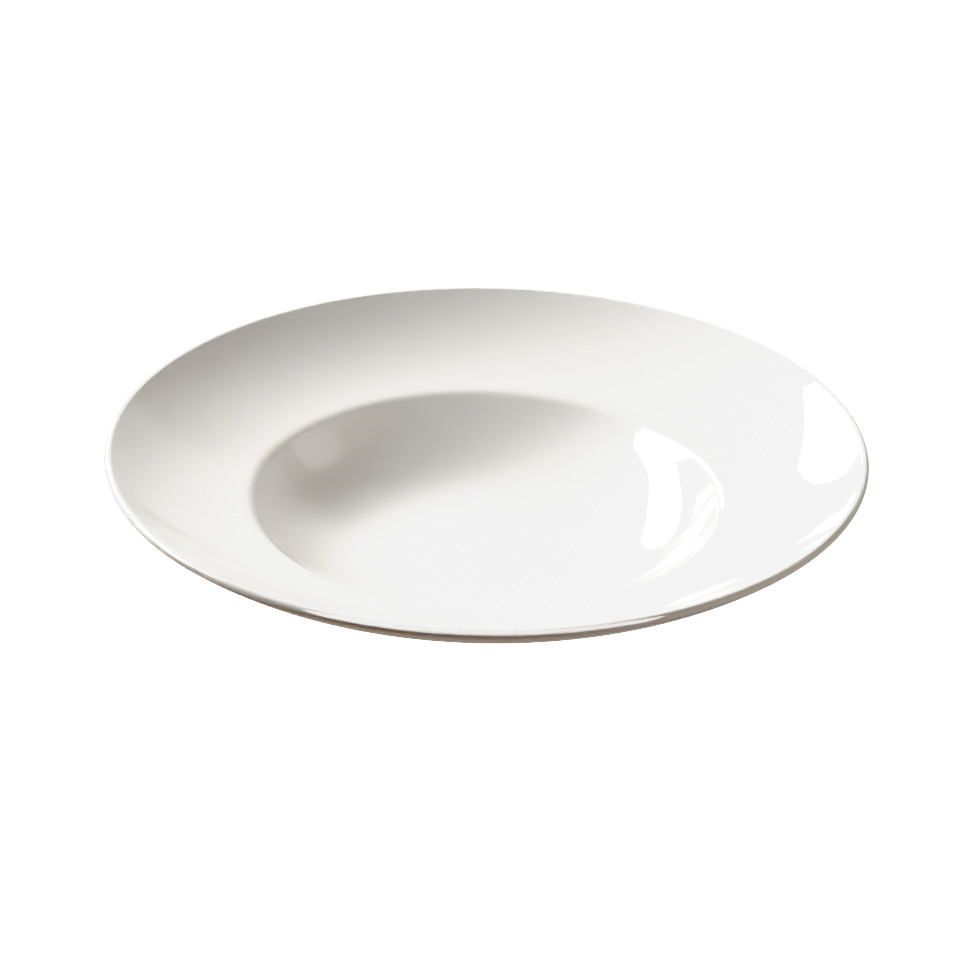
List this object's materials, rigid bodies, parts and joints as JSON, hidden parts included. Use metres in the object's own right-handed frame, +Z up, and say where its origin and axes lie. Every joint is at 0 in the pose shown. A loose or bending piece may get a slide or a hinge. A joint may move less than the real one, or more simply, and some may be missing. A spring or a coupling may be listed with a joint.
{
  "type": "pasta bowl",
  "caption": "Wide-rimmed round pasta bowl of white glazed porcelain, with a dished rim, a soft-walled well and a bare foot ring.",
  "frame": {"origin": "centre of the foot ring's bearing plane, on the table", "axes": "+Z up along the bowl's axis of revolution; X and Y are any two level directions"},
  "size_m": [0.3, 0.3, 0.055],
  "materials": {
    "bare_porcelain": "bare fired porcelain, matt and fine-grained, seen on the foot ring",
    "glaze": "clear glossy glaze over white porcelain",
    "recess_glaze": "clear glossy glaze over white porcelain, inside the foot ring"
  },
  "bodies": {
    "root": {"porcelain_body": "bare_porcelain", "glaze_coat": "glaze", "foot_recess_glaze": "recess_glaze"}
  },
  "joints": []
}
